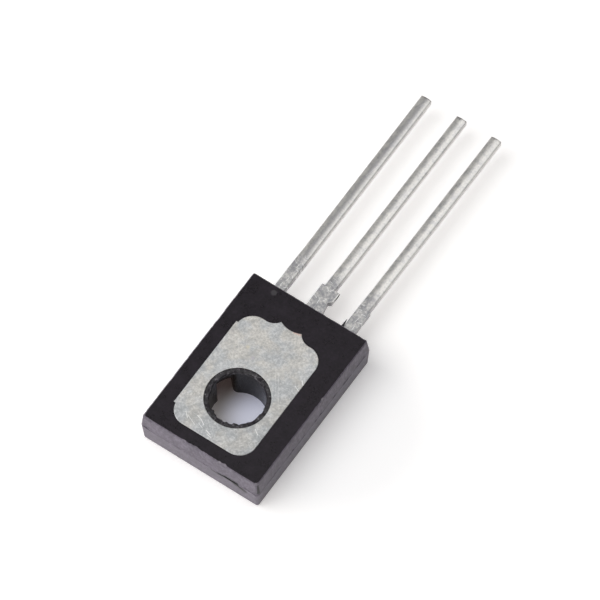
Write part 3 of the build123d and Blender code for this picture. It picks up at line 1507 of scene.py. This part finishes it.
def slivers(plan: PartPlan) -> list[Sliver]:
    """Draws the whisker of flash between two leads, the burr on the middle lead's root with its painted
    highlight, and a dark sheet of painted shadow beside the burr.

    Args:
        plan: Heights and places of the part.

    Returns:
        The slivers.
    """
    sunk = 0.05
    parting = plan.parting / MM
    wall = plan.lead_end / MM - sunk
    whisker = (
        (1.80, wall, parting - 0.05),
        (2.00, wall, parting - 0.05),
        (1.97, wall + 0.35, parting - 0.04),
        (1.93, wall + 0.62, parting - 0.02),
        (1.88, wall + 0.85, parting + 0.01),
        (1.84, wall + 0.50, parting - 0.03),
    )
    # Real burr on the middle lead's root; its near-white colour is a painted highlight.
    burr = (
        (0.60, 8.19, parting + 0.02),
        (0.68, 8.17, parting + 0.04),
        (0.69, 8.50, parting + 0.05),
        (0.67, 8.83, parting + 0.05),
        (0.62, 8.81, parting + 0.03),
    )
    # Dark sheet beside the burr that paints the burr's shadow.
    shadow_sheet_outline = (
        (0.65, 8.30, parting - 0.08),
        (0.70, 8.34, parting - 0.06),
        (0.715, 8.56, parting - 0.05),
        (0.69, 8.80, parting - 0.05),
        (0.65, 8.78, parting - 0.08),
    )
    grain = (6.0, 2.0, 6.0)
    # Near-white matt colour of the burr: a painted highlight.
    burr_tin_painted_highlight = DullMetal("burr_tin_painted_highlight", (0.95, 0.94, 0.92), (0.82, 0.81, 0.79), 0.50, grain, metallic=0.1)
    # Dark colour of the painted shadow sheet.
    painted_shadow_tin = DullMetal("painted_shadow_tin", (0.30, 0.285, 0.27), (0.16, 0.15, 0.14), 0.60, grain, metallic=0.5)
    return [
        Sliver("flash_whisker", whisker, 0.04, Slot.EPOXY, RaggedFlash()),
        Sliver("root_burr", burr, 0.04, Slot.TIN, burr_tin_painted_highlight),
        Sliver("root_painted_shadow", shadow_sheet_outline, 0.10, Slot.TIN, painted_shadow_tin),
    ]


@dataclass
class InnerPieces:
    """Chip, solder and bond wires, which the moulding hides."""

    chip: Finish = PolishedSilicon()
    solder: Finish = DullMetal("dull_solder", (0.50, 0.50, 0.51), (0.36, 0.36, 0.37), 0.45, (4.0, 4.0, 4.0))
    wire: Finish = DullMetal("drawn_wire", (0.80, 0.80, 0.81), (0.66, 0.66, 0.67), 0.28, (6.0, 1.0, 6.0))

    def dress(self) -> None:
        """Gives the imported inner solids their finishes."""
        finishes = {
            "silicon_die": self.chip,
            "die_solder": self.solder,
            "emitter_wire": self.wire,
            "base_wire": self.wire,
        }
        for node, finish in finishes.items():
            data = frame["nodes"][node].data
            data.materials.clear()
            data.materials.append(finish.material())
            log.info("%s: %s", node, finish.name)


@dataclass(frozen=True)
class Softbox:
    """Square soft lamp that looks at the part."""

    name: str
    azimuth: float
    elevation: float
    distance: float
    size: float
    power: float

    def build(self, target: Vector) -> bpy.types.Object:
        """Makes the lamp.

        Args:
            target: Place that it looks at.

        Returns:
            The lamp's object.
        """
        data = bpy.data.lights.new(self.name, "AREA")
        data.size = self.size
        data.energy = self.power
        lamp = bpy.data.objects.new(self.name, data)
        level = math.cos(self.elevation)
        away = Vector(
            (math.cos(self.azimuth) * level, math.sin(self.azimuth) * level, math.sin(self.elevation))
        )
        lamp.location = target + away * self.distance
        lamp.rotation_mode = "QUATERNION"
        lamp.rotation_quaternion = away.to_track_quat("Z", "Y")
        lamp.visible_camera = False
        bpy.context.scene.collection.objects.link(lamp)
        return lamp


@dataclass(frozen=True)
class RoomGlow:
    """Bright side of the room, low over the floor."""

    azimuth: float
    strength: float
    focus: float = 4.0

    def shine(self, x: Socket, y: Socket) -> Socket:
        """Strength of the glow towards a direction.

        Args:
            x: The direction's X part.
            y: The direction's Y part.

        Returns:
            The strength, before the ceiling dims it.
        """
        facing = (x * math.cos(self.azimuth) + y * math.sin(self.azimuth)).most(0.0)
        return facing ** self.focus * self.strength


@dataclass
class Studio:
    """White floor, two soft lamps and a room with bright sides and a dark ceiling."""

    floor_size: float = 1.2
    floor_gap: float = 0.01 * MM
    floor_colour: Colour = (0.93, 0.93, 0.93)
    floor_glow: Colour = (0.37, 0.355, 0.345)
    # Lower glow beside the body: painted shadow.
    painted_shadow_glow: Colour = (0.250, 0.243, 0.243)
    # Glows under the hole and the slot: painted shade under the part, tinted blue in the hole.
    painted_hole_shade_glow: Colour = (0.125, 0.135, 0.215)
    painted_slot_shade_glow: Colour = (0.030, 0.020, 0.018)
    no_glow: Colour = (0.0, 0.0, 0.0)
    painted_shadow_spot: Spot = Spot((4.6, 2.6), 5.4, 1.6)
    painted_shade_under_part: Spot = Spot((0.0, 0.0), 3.2, 0.4)
    painted_shade_under_hole: Spot = Spot((0.90, 0.60), 1.5, 0.9)
    ceiling_start: float = 0.20
    ceiling_end: float = 0.70
    ambient: float = 0.06
    gloss_limit: float = 1.2
    white: Colour = (1.0, 1.0, 1.0)
    glows: tuple[RoomGlow, ...] = (
        RoomGlow(math.radians(180.0), 1.6),
        RoomGlow(math.radians(268.0), 4.5),
        RoomGlow(math.radians(0.0), 0.30),
    )
    lamps: tuple[Softbox, ...] = (
        Softbox("key_softbox", math.radians(210.0), math.radians(58.0), 0.60, 0.50, 2.05),
        Softbox("overhead_softbox", math.radians(72.0), math.radians(66.0), 0.60, 0.46, 0.80),
    )

    def build(self, target: Vector) -> None:
        """Makes the floor, the lamps and the room.

        Args:
            target: Place that the lamps look at.
        """
        bpy.context.scene.view_settings.view_transform = "Standard"
        mesh = bmesh.new()
        bmesh.ops.create_grid(mesh, x_segments=1, y_segments=1, size=self.floor_size)
        data = bpy.data.meshes.new("floor")
        mesh.to_mesh(data)
        mesh.free()
        data.materials.append(self._floor_material())
        floor = bpy.data.objects.new("floor", data)
        floor.location.z = -self.floor_gap
        bpy.context.scene.collection.objects.link(floor)
        for lamp in self.lamps:
            lamp.build(target)
        self._room()

    def _floor_material(self) -> bpy.types.Material:
        """Makes the pale matt floor, which glows for what looks at it, and glows less beside and under the
        part, which paints shadow and shade there.

        Returns:
            The floor's material.
        """
        made = bpy.data.materials.new("floor_paper")
        made.use_nodes = True
        canvas = Canvas(made.node_tree)
        matt = canvas.node("ShaderNodeBsdfDiffuse", sockets={"Color": self.floor_colour})
        place = canvas.place()
        # Painted shade under the hole and the slot: the floor there glows less.
        below = canvas.mix(canvas.spot(place, self.painted_shade_under_hole), self.painted_slot_shade_glow, self.painted_hole_shade_glow)
        # Painted shadow: the floor glows less beside the body.
        glow_with_painted_shadow = canvas.mix(canvas.spot(place, self.painted_shadow_spot), self.floor_glow, self.painted_shadow_glow)
        glow_with_painted_shade = canvas.mix(canvas.spot(place, self.painted_shade_under_part), glow_with_painted_shadow, below)
        path = canvas.node("ShaderNodeLightPath")
        mirrored = path.out("Is Glossy Ray").most(path.out("Is Transmission Ray"))
        seen = canvas.mix(path.out("Is Camera Ray").most(mirrored), self.no_glow, glow_with_painted_shade)
        glow = canvas.node("ShaderNodeEmission", sockets={"Color": seen, "Strength": 1.0})
        both = canvas.node("ShaderNodeAddShader", sockets={0: matt, 1: glow})
        canvas.node("ShaderNodeOutputMaterial", sockets={"Surface": both})
        return made

    def _room(self) -> None:
        """Lights the sides low over the floor, dims them in reflections, and is white behind the part."""
        world = bpy.data.worlds.new("room")
        bpy.context.scene.world = world
        world.use_nodes = True
        canvas = Canvas(world.node_tree)
        direction = canvas.node("ShaderNodeTexCoord").out("Generated")
        x, y, height = canvas.parts(direction)
        low = canvas.ramp(height, self.ceiling_start, self.ceiling_end, 1.0, 0.0)
        glows = [glow.shine(x, y) for glow in self.glows]
        room = sum(glows[1:], glows[0]) * low + self.ambient
        path = canvas.node("ShaderNodeLightPath")
        dimmed = (room.least(self.gloss_limit) - room) * path.out("Is Glossy Ray")
        camera = path.out("Is Camera Ray")
        strength = camera + (1.0 - camera) * (room + dimmed)
        light = canvas.node("ShaderNodeBackground", sockets={"Color": self.white, "Strength": strength})
        canvas.node("ShaderNodeOutputWorld", sockets={"Surface": light})


@dataclass(frozen=True)
class PhotoCamera:
    """Camera that stands where the photograph was taken from."""

    azimuth: float = math.radians(36.30)
    elevation: float = math.radians(62.57)
    roll: float = math.radians(-1.98)
    distance: float = 350.0 * MM
    clip_share: float = 100.0
    focal_pixels: float = 6393.0
    image_pixels: float = 600.0
    sensor: float = 36.0
    look_at: tuple[float, float, float] = (0.10 * MM, 5.98 * MM, 1.00 * MM)
    look_at_pixel: tuple[float, float] = (302.0, 330.5)

    def build(self) -> bpy.types.Object:
        """Makes the camera.

        Returns:
            The camera's object.
        """
        level = math.cos(self.elevation)
        back = Vector(
            (math.sin(self.azimuth) * level, -math.cos(self.azimuth) * level, math.sin(self.elevation))
        )
        right = (-back).cross(ALONG[2]).normalized()
        up = right.cross(-back)
        tilted_right = right * math.cos(self.roll) + up * math.sin(self.roll)
        tilted_up = up * math.cos(self.roll) - right * math.sin(self.roll)
        middle = self.image_pixels / 2
        aim = (
            -back
            + tilted_right * (middle - self.look_at_pixel[0]) / self.focal_pixels
            - tilted_up * (middle - self.look_at_pixel[1]) / self.focal_pixels
        ).normalized()
        across = aim.cross(tilted_up).normalized()
        turn = Matrix((across, across.cross(aim), -aim)).transposed()
        data = bpy.data.cameras.new("photo_camera")
        data.sensor_width = self.sensor
        data.lens = self.focal_pixels * self.sensor / self.image_pixels
        data.clip_start = self.distance / self.clip_share
        data.clip_end = self.distance * self.clip_share
        camera = bpy.data.objects.new("photo_camera", data)
        camera.matrix_world = Matrix.Translation(Vector(self.look_at) + back * self.distance) @ turn.to_4x4()
        bpy.context.scene.collection.objects.link(camera)
        bpy.context.scene.camera = camera
        return camera


def main() -> None:
    """Builds the part, then the camera and the studio."""
    logging.basicConfig(level=logging.INFO, format="%(name)s: %(message)s")
    plan = PartPlan.read()
    for assembly in (Moulding(plan), MetalFrame(plan), BoreFlash(plan), *slivers(plan)):
        assembly.dress(assembly.build())
    InnerPieces().dress()
    PhotoCamera().build()
    Studio().build(Vector(PhotoCamera.look_at))


if __name__ == "__main__":
    main()
